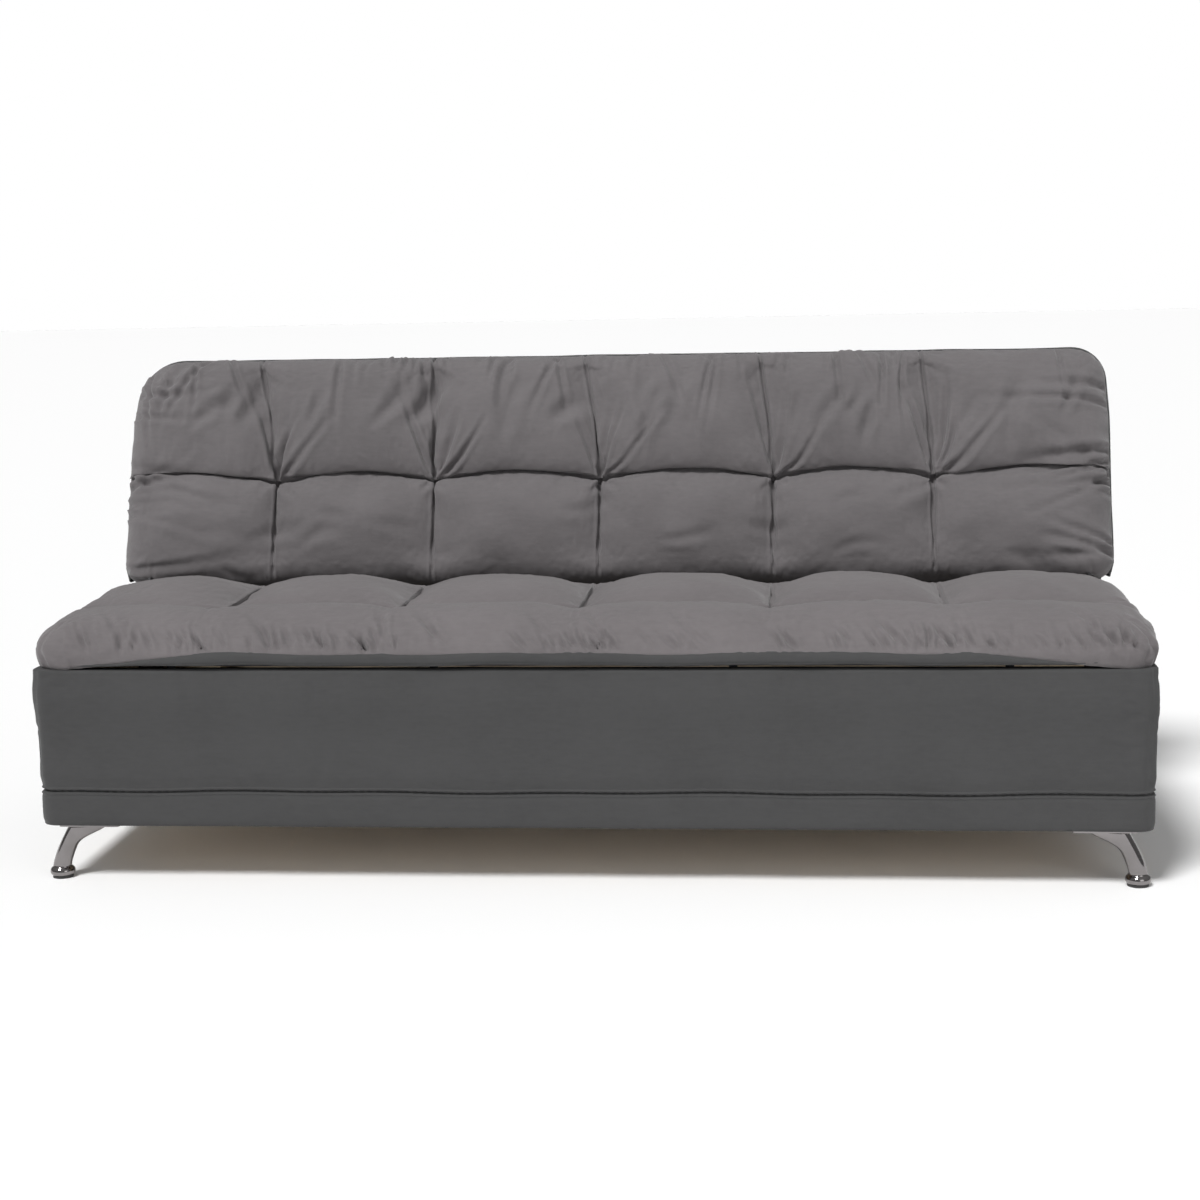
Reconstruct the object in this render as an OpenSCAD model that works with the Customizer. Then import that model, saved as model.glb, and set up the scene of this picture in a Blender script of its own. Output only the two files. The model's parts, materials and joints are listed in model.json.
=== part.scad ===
// Armless click-clack sofa bed: a padded box base on four curved chrome legs, with a seat pad
// and a back pad that both turn about one pair of pivot pins. Millimetres, +Z up, +X to the
// sitter's left, the front towards -Y. The origin is on the floor, under the middle of the box
// that the whole sofa fits in.

/* [Overall] */
// Width over the seat pad and the back pad
sofa_w = 1880; // [1700:10:2000]
// Depth of the seat, from the face of the base to the pivot
seat_depth = 530; // [500:5:600]
// How far the seat pad stands out past the face of the base
seat_overhang = 12; // [0:1:30]
// Height of the pivot above the floor
pivot_z = 430; // [425:1:440]
// Length of the back pad, from the pivot to its top edge
back_length = 465; // [440:5:520]
// Angle of the upright back above the level seat
back_angle = 70; // [65:1:72]

/* [Base] */
// Width over the covered base
base_w = 1860; // [1680:10:1960]
// Depth over the covered base
base_d = 700; // [660:10:760]
// Height of the underside of the base, which the legs set
base_bottom = 100; // [90:1:120]
// Height of the top edge of the base
base_top = 368; // [360:1:368]
// Height of the separate strip of cover along the bottom of the base
band_h = 60; // [40:1:80]
// Thickness of the boards
board_t = 15; // [12:0.5:18]
// Thickness of the padding over the boards
padding_t = 11.5; // [8:0.5:14]
// Thickness of the quilted cover over the padding
cover_t = 3; // [2:0.5:4]
// Radius of the upright edges of the covered base
base_round = 22; // [16:1:30]

/* [Pads] */
// Rise of a pad's top face above the pivot
pad_rise = 25; // [15:1:28]
// Depth of the frames' underside below the pivot
frame_under = 57; // [50:1:57]
// Side of the square steel tube of the frames
tube = 25; // [20:1:30]
// Wall of the square tube
tube_wall = 1.5; // [1:0.1:2.5]
// Thickness of the slats
slat_t = 6; // [4:0.5:8]
// Width of a slat
slat_w = 50; // [30:5:60]
// Number of slats in each frame
slat_count = 14; // [8:1:18]
// Thickness of the foam sheet on the slats
foam_t = 18; // [10:1:24]
// Thickness of the edge strip in front of the far rail
edge_t = 26; // [20:1:34]
// Gap between a pad and the pivot line
pad_gap = 8; // [6:1:12]
// Radius of a pad's top edge along the pivot
seam_round = 40; // [38:1:42]
// Radius of a pad's far top edge
far_round = 32; // [20:1:36]
// Radius of a pad's far bottom edge
under_round = 20; // [12:1:22]
// Radius of a pad's far corners, seen square to the pad
corner_round = 50; // [20:5:70]

/* [Mechanism] */
// Thickness of the steel plates
plate_t = 4; // [3:0.5:4]
// Air between neighbouring plates
plate_gap = 0.5; // [0.3:0.1:1]
// Radius of the pivot pin
pin_r = 6; // [5:0.5:8]
// Radial clearance of an arm on the pivot pin
pin_clearance = 0.05; // [0.02:0.01:0.1]
// Radius of the eye of an arm
eye_r = 16; // [14:1:18]
// Length of an arm from the pivot
arm_length = 320; // [280:10:360]
// Outer radius of the toothed quadrant
quadrant_r = 80; // [78:1:80]
// Inner radius of the toothed quadrant
quadrant_inner_r = 62; // [58:1:66]
// Back angles that the quadrant has a notch for
notch_angles = [0, 45, 70];
// Radius of the pawl's pin
pawl_pin_r = 4; // [3:0.5:5]
// Depth of the pawl's pin below the pivot
pawl_drop = 100; // [98:1:104]

/* [Legs] */
// Radius of the foot disc
foot_r = 21.5; // [18:0.5:26]
// Height of the foot disc
foot_h = 14; // [10:1:18]
// Height of the plastic glide under the foot disc
glide_h = 4; // [2:1:6]
// Radius of the leg tube
leg_tube_r = 17; // [14:0.5:20]
// Radius of the leg's curve
leg_curve_r = 154; // [130:1:180]
// Distance of a foot's centre from the end of the base
foot_inset_x = 17; // [16:1:60]
// Distance of a foot's centre from the face of the base
foot_inset_y = 30; // [24:1:60]

/* [Hidden] */
$fn = 64;
half_w = sofa_w / 2;
half_base = base_w / 2;
wall_t = board_t + padding_t + cover_t;
inner_x = half_base - wall_t;
seat_len = seat_depth + seat_overhang;

// The upright back's rearmost point is the round edge between its top edge and its rear cover.
rear_cover_t = 2;
pad_under = frame_under + rear_cover_t;
back_reach = (back_length - under_round) * cos(back_angle)
           + (pad_under - under_round) * sin(back_angle) + under_round;
total_depth = seat_len + back_reach;
base_front = -total_depth / 2 + seat_overhang;
base_rear = base_front + base_d;
pivot_y = base_front + seat_depth;

// Plate planes, from the inner face of the end board inwards: bracket, back arm, seat arm.
bracket_x = inner_x - plate_t;
back_arm_x = bracket_x - plate_gap - plate_t;
seat_arm_x = back_arm_x - plate_gap - plate_t;
seat_rail_x = seat_arm_x - tube;
back_rail_x = back_arm_x - tube;
slot_x = [seat_arm_x - 5, inner_x + 4.5];
slot_u = 55;
strip_x = inner_x + 4.5;

// Heights in a pad, above the pivot.
rail_z = [-frame_under, tube - frame_under];
slat_z = [rail_z[1], rail_z[1] + slat_t];
foam_z = [slat_z[1], slat_z[1] + foam_t];
near_u = 22;
crank_u = 75;
arm_mid_z = (rail_z[0] + rail_z[1]) / 2;
centre_rail_x = 290;

// Bolts and screws.
bolt_r = 3;
bolt_head_r = 6;
bolt_head_h = 3;
hole_play = 0.05;
arm_bolt_u = [130, 215, 300];
bracket_half_w = 70;
neck_half_w = 14;
bracket_drop = [66, 180];
bracket_bolts_at = [for (y = [-50, 50], z = [-115, -160]) [y, z]];

// The pawl: its tip lies on a ray 60 degrees below the level, just outside the quadrant.
tip_r = 4;
tip_play = 0.8;
finger_half_w = 3.4;
tip_angle = -60;
tip_at = (quadrant_r + tip_play + tip_r) * [cos(tip_angle), sin(tip_angle)];
elbow_at = 1.14 * tip_at;
notch_r = 5.5;
notch_depth_r = quadrant_r - 1.2;
quadrant_from = tip_angle - notch_angles[2] - 6.5;
quadrant_to = -36;

// Legs and their fixings.
leg_plate_t = 3;
leg_pad_t = 3;
leg_plate_z = base_bottom - leg_pad_t - leg_plate_t;
foot_x = half_base - foot_inset_x;
leg_plate_u = [4, 110];
leg_plate_v = [-20, 48];
leg_screws_at = [[22, 34], [95, 34], [95, 10]];
leg_screw_top = base_bottom + 30;
corner_block_w = leg_plate_u[1] + 6;
corner_block_d = 56;
corner_block_top = 320;

// Inside of the base.
bearer_h = 18;
floor_t = 6;
cleat_w = 35;
cleat_z = [330, base_top - cover_t];
bumper_play = 0.3;

// ---- Shapes that repeat ----

// A block between low and high limits along each axis
module block(x, y, z) {
    translate([x[0], y[0], z[0]]) cube([x[1] - x[0], y[1] - y[0], z[1] - z[0]]);
}

// A square tube between the same limits, open at both ends along "x" or "y"
module square_tube(x, y, z, along) {
    grow_x = along == "x" ? 1 : -tube_wall;
    grow_y = along == "y" ? 1 : -tube_wall;
    difference() {
        block(x, y, z);
        block(
            [x[0] - grow_x, x[1] + grow_x],
            [y[0] - grow_y, y[1] + grow_y],
            [z[0] + tube_wall, z[1] - tube_wall]
        );
    }
}

// A rectangle whose corners have the radii [low-low, high-low, high-high, low-high]
module soft_rect(x, y, radii) {
    corners = [[0, 0], [1, 0], [1, 1], [0, 1]];
    inward = [1, -1];
    difference() {
        translate([x[0], y[0]]) square([x[1] - x[0], y[1] - y[0]]);
        for (i = [0:3])
            translate([x[corners[i][0]], y[corners[i][1]]])
                square(2 * radii[i], center = true);
    }
    for (i = [0:3])
        translate([
            x[corners[i][0]] + inward[corners[i][0]] * radii[i],
            y[corners[i][1]] + inward[corners[i][1]] * radii[i]
        ])
            circle(radii[i]);
}

// The rounded outline of the base, drawn in from its covered faces by a distance
module base_outline(inset) {
    r = max(base_round - inset, 1);
    soft_rect(
        [-half_base + inset, half_base - inset],
        [base_front + inset, base_rear - inset],
        [r, r, r, r]
    );
}

// A plate of the given outline in the Y-Z plane, from x inwards to x plus its thickness
module side_plate(x, t) {
    translate([x, 0, 0]) rotate([90, 0, 90]) linear_extrude(t) children();
}

// A round pin along X between two limits, at a point of the Y-Z plane
module pin_x(x, at, r) {
    translate([x[0], at[0], at[1]]) rotate([0, 90, 0]) cylinder(r = r, h = x[1] - x[0]);
}

// A piece on one end of the sofa: 1 is the right-hand end (+X), -1 the left-hand end
module on_side(side) {
    if (side > 0) children();
    else mirror([1, 0, 0]) children();
}

// The pivot's own frame: Y is 0 at the pins' axis and Z is 0 at its height
module at_pivot() {
    translate([0, pivot_y, pivot_z]) children();
}

// A pad's own frame has +Y from the pivot to the pad's far edge: the seat lies level forwards
module seat_place() {
    at_pivot() mirror([0, 1, 0]) children();
}

// The back stands up at its angle
module back_place() {
    at_pivot() rotate([back_angle, 0, 0]) children();
}

// ---- Pads: the same make-up for the seat and the back, in the pad's own frame ----

// The soft outer form of a pad of a given length
module pad_form(len) {
    intersection() {
        side_plate(-half_w, sofa_w)
            soft_rect(
                [pad_gap, len], [-pad_under, pad_rise],
                [3, under_round, far_round, seam_round]
            );
        translate([0, 0, -pad_under - 1]) linear_extrude(pad_under + pad_rise + 2)
            soft_rect(
                [-half_w, half_w], [pad_gap, len],
                [6, 6, corner_round, corner_round]
            );
    }
}

// Room at both ends for the plates of the mechanism, beside the pivot
module mechanism_slots() {
    for (side = [-1, 1]) on_side(side)
        block(slot_x, [0, slot_u], [-pad_under - 1, pad_rise + 1]);
}

// A rail along the width, near the pivot or at the far edge
module long_rail(half, u) {
    square_tube([-half, half], [u, u + tube], rail_z, "x");
}

// An end rail with the holes of the arm's bolts
module end_rail(x, len) {
    difference() {
        square_tube([x, x + tube], [near_u, len - edge_t], rail_z, "y");
        for (u = arm_bolt_u) pin_x([x - 1, x + tube + 1], [u, arm_mid_z], bolt_r + hole_play);
    }
}

// Two rails between the long rails, for the slats' frame
module centre_rails(len) {
    for (side = [-1, 1]) on_side(side)
        square_tube(
            [centre_rail_x - tube / 2, centre_rail_x + tube / 2],
            [near_u + tube, len - edge_t - tube], rail_z, "y"
        );
}

// Flat slats from rail to rail, evenly spaced over the width
module slats(half, len) {
    pitch = (2 * half - slat_w) / (slat_count - 1);
    for (i = [0 : slat_count - 1])
        translate([-half + i * pitch, 0, 0])
            block([0, slat_w], [near_u + 2, len - edge_t - 2], slat_z);
}

// A sheet of foam on the slats
module foam_sheet(half, len) {
    block([-half, half], [near_u + 2, len - edge_t - 2], foam_z);
}

// The padded top of a pad: it lies on the foam and comes down round it to the frame's top
module cushion(len) {
    difference() {
        pad_form(len);
        block([-half_w - 1, half_w + 1], [0, len + 1], [-pad_under - 1, rail_z[1]]);
        block([-strip_x, strip_x], [near_u, len - edge_t], [rail_z[1] - 1, foam_z[1]]);
        mechanism_slots();
    }
}

// The firm strip along the far edge, below the padded top
module far_border(len) {
    intersection() {
        pad_form(len);
        block([-strip_x, strip_x], [len - edge_t, len], rail_z);
    }
}

// The firm strip along one end
module end_border(len) {
    intersection() {
        pad_form(len);
        block([strip_x, half_w], [pad_gap, len], rail_z);
    }
}

// An arm: an eye on the pin, a crank down to the frame and a bar along the end rail
module arm_body(x) {
    half = tube / 2;
    bend = [crank_u, arm_mid_z];
    across = [-bend[1], bend[0]] / norm(bend);
    mitre = half * (across + [0, 1]) / (1 + across[1]);
    side_plate(x, plate_t) circle(eye_r);
    side_plate(x, plate_t)
        polygon([
            half * across, bend + mitre,
            [arm_length, rail_z[1]], [arm_length, rail_z[0]],
            bend - mitre, -half * across
        ]);
}

// The holes of an arm: its bore on the pivot pin and its bolt holes
module arm_bores(x) {
    along = [x - 1, x + plate_t + 1];
    pin_x(along, [0, 0], pin_r + pin_clearance);
    for (u = arm_bolt_u) pin_x(along, [u, arm_mid_z], bolt_r + hole_play);
}

// The toothed quadrant of the back arm, with one notch for each back angle
module quadrant_outline() {
    middle = (quadrant_from + quadrant_to) / 2;
    reach = 2 * quadrant_r;
    difference() {
        intersection() {
            difference() {
                circle(quadrant_r);
                circle(quadrant_inner_r);
            }
            polygon([
                [0, 0],
                reach * [cos(quadrant_from), sin(quadrant_from)],
                reach * [cos(middle), sin(middle)],
                reach * [cos(quadrant_to), sin(quadrant_to)]
            ]);
        }
        for (a = notch_angles) rotate(tip_angle - a) {
            translate([notch_depth_r, 0]) circle(notch_r);
            translate([notch_depth_r, -notch_r]) square(2 * notch_r);
        }
    }
}

// Bolts through an arm and its end rail: a head outside, a hexagonal nut inside
module arm_bolts(arm_x) {
    for (side = [-1, 1]) on_side(side) for (u = arm_bolt_u) {
        pin_x([arm_x - tube - bolt_head_h, arm_x + plate_t], [u, arm_mid_z], bolt_r);
        pin_x([arm_x + plate_t, arm_x + plate_t + bolt_head_h], [u, arm_mid_z], bolt_head_r);
        translate([arm_x - tube - bolt_head_h, u, arm_mid_z])
            rotate([0, 90, 0]) cylinder(r = bolt_head_r, h = bolt_head_h, $fn = 6);
    }
}

// ---- Base ----

board_z = [base_bottom + cover_t, base_top - cover_t];
skin_t = padding_t + cover_t;

module long_board(y) {
    color("burlywood") block([-half_base + skin_t, half_base - skin_t], [y, y + board_t], board_z);
}

module base_front_board() {
    long_board(base_front + skin_t);
}

module base_rear_board() {
    long_board(base_rear - wall_t);
}

// An end board with the holes of its bracket's bolts
module end_board(side) {
    color("burlywood") on_side(side) difference() {
        block([inner_x, inner_x + board_t], [base_front + wall_t, base_rear - wall_t], board_z);
        at_pivot() for (p = bracket_bolts_at)
            pin_x([inner_x - 1, inner_x + board_t + 1], p, bolt_r + hole_play);
    }
}

// Places a leg's own frame: X inwards along the base, Y away from its long face, Z up
module leg_place(side, rear) {
    on_side(side)
        translate([foot_x, rear ? base_rear - foot_inset_y : base_front + foot_inset_y, 0])
            mirror([0, rear ? 1 : 0, 0]) mirror([1, 0, 0]) children();
}

module each_leg() {
    for (side = [-1, 1], rear = [false, true]) leg_place(side, rear) children();
}

module corner_blocks() {
    color("tan") difference() {
        for (side = [-1, 1]) on_side(side) {
            x = [inner_x - corner_block_w, inner_x];
            z = [base_bottom, corner_block_top];
            block(x, [base_front + wall_t, base_front + wall_t + corner_block_d], z);
            block(x, [base_rear - wall_t - corner_block_d, base_rear - wall_t], z);
        }
        each_leg() for (p = leg_screws_at)
            translate([p[0], p[1], base_bottom - 1]) cylinder(r = bolt_r + hole_play, h = 32);
    }
}

// Ledges inside the end boards that carry the ends of the seat
module support_rails() {
    color("tan") for (side = [-1, 1]) on_side(side)
        block(
            [inner_x - cleat_w, inner_x],
            [base_front + wall_t, pivot_y - bracket_half_w - 20],
            cleat_z
        );
}

module floor_bearers() {
    color("tan") for (x = [-450, 0, 450])
        block(
            [x - 20, x + 20],
            [base_front + wall_t, base_rear - wall_t],
            [board_z[0], board_z[0] + bearer_h]
        );
}

// The floor of the storage space, cut out at its corners round the corner blocks
module storage_floor() {
    z = board_z[0] + bearer_h;
    color("wheat") difference() {
        block([-inner_x, inner_x], [base_front + wall_t, base_rear - wall_t], [z, z + floor_t]);
        for (side = [-1, 1]) on_side(side)
            for (y = [base_front + wall_t, base_rear - wall_t])
                block(
                    [inner_x - corner_block_w, inner_x + 1],
                    [y - corner_block_d, y + corner_block_d],
                    [z - 1, z + floor_t + 1]
                );
    }
}

module base_padding() {
    x = half_base - skin_t;
    color("whitesmoke") intersection() {
        translate([0, 0, board_z[0]]) linear_extrude(board_z[1] - board_z[0])
            base_outline(cover_t);
        union() {
            block([-half_base, half_base], [base_front, base_front + skin_t - 0.01], board_z);
            block([-half_base, half_base], [base_rear - skin_t + 0.01, base_rear], board_z);
            for (side = [-1, 1]) on_side(side)
                block([x, half_base], [base_front + skin_t, base_rear - skin_t], board_z);
        }
    }
}

// A ring of cover between two heights, with a lip turned in over the boards' edges
module cover_ring(z, lip_z) {
    color([0.30, 0.30, 0.31]) difference() {
        translate([0, 0, z[0]]) linear_extrude(z[1] - z[0]) base_outline(0);
        translate([0, 0, z[0] - (lip_z[0] > z[0] ? 1 : -cover_t)])
            linear_extrude(z[1] - z[0] - cover_t + 1) base_outline(cover_t);
        block(
            [-inner_x, inner_x], [base_front + wall_t, base_rear - wall_t],
            [lip_z[0] - 1, lip_z[1] + 1]
        );
    }
}

module base_cover() {
    cover_ring([base_bottom + band_h, base_top], [base_top - cover_t, base_top]);
}

module base_band() {
    cover_ring([base_bottom, base_bottom + band_h], [base_bottom, base_bottom + cover_t]);
}

// ---- Legs, in the leg's own frame ----

module leg_plate_outline() {
    soft_rect(leg_plate_u, leg_plate_v, [6, 6, 6, 6]);
}

module leg_screw_holes(r) {
    for (p = leg_screws_at) translate(p) circle(r);
}

module leg() {
    start_z = glide_h + foot_h - 4;
    rise = leg_plate_z - start_z;
    sweep = asin((rise + leg_tube_r) / leg_curve_r);
    color([0.75, 0.75, 0.77]) {
        translate([0, 0, glide_h]) rotate_extrude() {
            square([foot_r - foot_h / 2, foot_h]);
            intersection() {
                translate([foot_r - foot_h / 2, foot_h / 2]) circle(foot_h / 2);
                square([foot_r, foot_h]);
            }
        }
        intersection() {
            translate([leg_curve_r, 0, start_z]) rotate([-90, 0, 0])
                rotate([0, 0, 180]) rotate_extrude(angle = sweep)
                    translate([leg_curve_r, 0]) circle(leg_tube_r);
            block([-60, 120], [-40, 40], [glide_h, leg_plate_z]);
        }
        // The web that fills the inside of the curve up to the plate
        translate([0, 11, 0]) rotate([90, 0, 0]) linear_extrude(22)
            polygon([
                [12, leg_plate_z], [76, leg_plate_z], [58, leg_plate_z - 7], [45, leg_plate_z - 16],
                [35, leg_plate_z - 28], [28, leg_plate_z - 42], [12, leg_plate_z - 42]
            ]);
        translate([0, 0, leg_plate_z]) linear_extrude(leg_plate_t) difference() {
            leg_plate_outline();
            leg_screw_holes(bolt_r + 0.3);
        }
    }
}

module leg_front_left() {
    leg_place(-1, false) leg();
}

module leg_front_right() {
    leg_place(1, false) leg();
}

module leg_rear_left() {
    leg_place(-1, true) leg();
}

module leg_rear_right() {
    leg_place(1, true) leg();
}

module leg_pads() {
    color([0.08, 0.08, 0.08]) each_leg()
        translate([0, 0, leg_plate_z + leg_plate_t]) linear_extrude(leg_pad_t) difference() {
            leg_plate_outline();
            leg_screw_holes(bolt_r + 0.3);
        }
}

module foot_glides() {
    color([0.1, 0.1, 0.1]) each_leg() cylinder(r = foot_r - 4, h = glide_h);
}

module leg_screws() {
    color("gainsboro") each_leg() for (p = leg_screws_at) translate([p[0], p[1], 0]) {
        translate([0, 0, leg_plate_z]) cylinder(r = bolt_r, h = leg_screw_top - leg_plate_z);
        translate([0, 0, leg_plate_z - bolt_head_h]) cylinder(r = bolt_head_r, h = bolt_head_h);
    }
}

// ---- Mechanism on the base ----

module base_bracket(side) {
    color("silver") on_side(side) at_pivot() side_plate(bracket_x, plate_t) difference() {
        union() {
            circle(eye_r);
            translate([-neck_half_w, -bracket_drop[0] - 1])
                square([2 * neck_half_w, bracket_drop[0] + 1]);
            soft_rect(
                [-bracket_half_w, bracket_half_w], [-bracket_drop[1], -bracket_drop[0]],
                [12, 12, 12, 12]
            );
        }
        circle(pin_r + pin_clearance);
        translate([0, -pawl_drop]) circle(pawl_pin_r + pin_clearance);
        for (p = bracket_bolts_at) translate(p) circle(bolt_r + hole_play);
    }
}

// Pins through the bracket and both arms, with a head at each end
module pivot_pins() {
    head_r = pin_r + 5;
    color("gray") for (side = [-1, 1]) on_side(side) at_pivot() {
        pin_x([seat_arm_x - 1, inner_x], [0, 0], pin_r);
        pin_x([seat_arm_x - 4, seat_arm_x - 0.5], [0, 0], head_r);
        pin_x([inner_x, inner_x + 3], [0, 0], head_r - 2);
    }
}

module pawl_pins() {
    color("gray") for (side = [-1, 1]) on_side(side) at_pivot() {
        pin_x([back_arm_x - 5, bracket_x + plate_t], [0, -pawl_drop], pawl_pin_r);
        pin_x([back_arm_x - 8, back_arm_x - 5], [0, -pawl_drop], pawl_pin_r + 4);
    }
}

// Close-wound springs on the pawls' pins, between the pin's head and the pawl
module pawl_springs() {
    wire_r = 0.7;
    coil_r = pawl_pin_r + 0.4 + wire_r;
    color("dimgray") for (side = [-1, 1]) on_side(side) at_pivot()
        for (i = [0:2])
            translate([back_arm_x - 4 + i * 1.3, 0, -pawl_drop])
                rotate([0, 90, 0]) rotate_extrude() translate([coil_r, 0]) circle(wire_r);
}

module bracket_bolts() {
    color("gainsboro") for (side = [-1, 1]) on_side(side) at_pivot() for (p = bracket_bolts_at) {
        pin_x([bracket_x, inner_x + board_t], p, bolt_r);
        pin_x([bracket_x - bolt_head_h, bracket_x], p, bolt_head_r);
    }
}

// Rubber stops under the seat's front rail and its end rails
module seat_bumpers() {
    top = pivot_z - frame_under - bumper_play;
    color([0.12, 0.12, 0.12]) {
        for (x = [-700, -250, 250, 700])
            translate([x, base_front + 22, base_top]) cylinder(r = 7, h = top - base_top);
        for (side = [-1, 1]) on_side(side) for (y = [120, 320])
            translate([seat_rail_x + tube - 8, base_front + y, cleat_z[1]])
                cylinder(r = 5, h = top - cleat_z[1]);
    }
}

// Rubber stops under the back when it lies flat
module back_bumpers() {
    top = pivot_z - pad_under - bumper_play;
    color([0.12, 0.12, 0.12]) for (x = [-700, -250, 250, 700])
        translate([x, base_rear - 22, base_top]) cylinder(r = 7, h = top - base_top);
}

// A pawl: a hub on its pin, a lever under the quadrant and a finger that points at the pivot
module pawl(side) {
    color("dimgray") on_side(side) at_pivot() side_plate(back_arm_x, plate_t) difference() {
        lever = elbow_at + [0, pawl_drop];
        union() {
            translate([0, -pawl_drop]) {
                circle(10);
                rotate(atan2(lever[1], lever[0])) translate([0, -5]) square([norm(lever), 10]);
            }
            translate(elbow_at) circle(6);
            translate(tip_at) circle(tip_r);
            rotate(tip_angle) translate([norm(tip_at), -finger_half_w])
                square([norm(elbow_at - tip_at), 2 * finger_half_w]);
        }
        translate([0, -pawl_drop]) circle(pawl_pin_r + pin_clearance);
    }
}

// ---- Seat ----

module seat_front_rail() {
    color("dimgray") seat_place() long_rail(seat_rail_x, seat_len - edge_t - tube);
}

module seat_rear_rail() {
    color("dimgray") seat_place() long_rail(seat_rail_x, near_u);
}

module seat_end_rail(side) {
    color("dimgray") on_side(side) seat_place() end_rail(seat_rail_x, seat_len);
}

module seat_centre_rails() {
    color("dimgray") seat_place() centre_rails(seat_len);
}

module seat_slats() {
    color("burlywood") seat_place() slats(seat_rail_x - 30, seat_len);
}

module seat_foam() {
    color("khaki") seat_place() foam_sheet(seat_rail_x + tube - 6, seat_len);
}

module seat_cushion() {
    color([0.48, 0.46, 0.47]) seat_place() cushion(seat_len);
}

module seat_border_front() {
    color([0.30, 0.30, 0.30]) seat_place() far_border(seat_len);
}

module seat_border_end(side) {
    color([0.30, 0.30, 0.30]) on_side(side) seat_place() end_border(seat_len);
}

// The thin cloth under the seat, held inside the ring of bumpers
module seat_dust_cloth() {
    half = seat_rail_x + 8;
    color([0.1, 0.1, 0.1]) seat_place()
        block([-half, half], [near_u + 2, seat_depth - 31], [-pad_under, -frame_under]);
}

module seat_arm(side) {
    color("silver") on_side(side) seat_place() difference() {
        arm_body(seat_arm_x);
        arm_bores(seat_arm_x);
    }
}

module seat_arm_bolts() {
    color("gainsboro") seat_place() arm_bolts(seat_arm_x);
}

// ---- Back ----

module back_top_rail() {
    color("dimgray") back_place() long_rail(back_rail_x, back_length - edge_t - tube);
}

module back_bottom_rail() {
    color("dimgray") back_place() long_rail(back_rail_x, near_u);
}

module back_end_rail(side) {
    color("dimgray") on_side(side) back_place() end_rail(back_rail_x, back_length);
}

module back_centre_rails() {
    color("dimgray") back_place() centre_rails(back_length);
}

module back_slats() {
    color("burlywood") back_place() slats(back_rail_x - 30, back_length);
}

module back_foam() {
    color("khaki") back_place() foam_sheet(seat_rail_x + tube - 6, back_length);
}

module back_cushion() {
    color([0.43, 0.41, 0.42]) back_place() cushion(back_length);
}

module back_border_top() {
    color([0.30, 0.30, 0.30]) back_place() far_border(back_length);
}

module back_border_end(side) {
    color([0.30, 0.30, 0.30]) on_side(side) back_place() end_border(back_length);
}

// The cloth behind the back, stretched over the underside of its frame
module back_rear_cover() {
    color([0.25, 0.25, 0.25]) back_place() difference() {
        intersection() {
            pad_form(back_length);
            block([-half_w, half_w], [0, back_length], [-pad_under, -frame_under]);
        }
        mechanism_slots();
    }
}

module back_arm(side) {
    color("silver") on_side(side) back_place() difference() {
        union() {
            arm_body(back_arm_x);
            side_plate(back_arm_x, plate_t) quadrant_outline();
        }
        arm_bores(back_arm_x);
    }
}

module back_arm_bolts() {
    color("gainsboro") back_place() arm_bolts(back_arm_x);
}

// ---- Nodes ----

base_front_board();
base_rear_board();
end_board(-1);  // base_left_board
end_board(1);  // base_right_board
corner_blocks();
support_rails();
floor_bearers();
storage_floor();
base_padding();
base_cover();
base_band();
leg_front_left();
leg_front_right();
leg_rear_left();
leg_rear_right();
leg_pads();
foot_glides();
leg_screws();
base_bracket(-1);  // base_bracket_left
base_bracket(1);  // base_bracket_right
pivot_pins();
pawl_pins();
pawl_springs();
bracket_bolts();
seat_bumpers();
back_bumpers();
pawl(-1);  // pawl_left
pawl(1);  // pawl_right
seat_front_rail();
seat_rear_rail();
seat_end_rail(-1);  // seat_end_rail_left
seat_end_rail(1);  // seat_end_rail_right
seat_centre_rails();
seat_slats();
seat_foam();
seat_cushion();
seat_border_front();
seat_border_end(-1);  // seat_border_left
seat_border_end(1);  // seat_border_right
seat_dust_cloth();
seat_arm(-1);  // seat_arm_left
seat_arm(1);  // seat_arm_right
seat_arm_bolts();
back_top_rail();
back_bottom_rail();
back_end_rail(-1);  // back_end_rail_left
back_end_rail(1);  // back_end_rail_right
back_centre_rails();
back_slats();
back_foam();
back_cushion();
back_border_top();
back_border_end(-1);  // back_border_left
back_border_end(1);  // back_border_right
back_rear_cover();
back_arm(-1);  // back_arm_left
back_arm(1);  // back_arm_right
back_arm_bolts();
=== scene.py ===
"""The looks of the armless click-clack sofa bed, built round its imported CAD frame."""

import json
import math

import bmesh
import bpy
import numpy as np
from mathutils import Matrix, Vector


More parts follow.
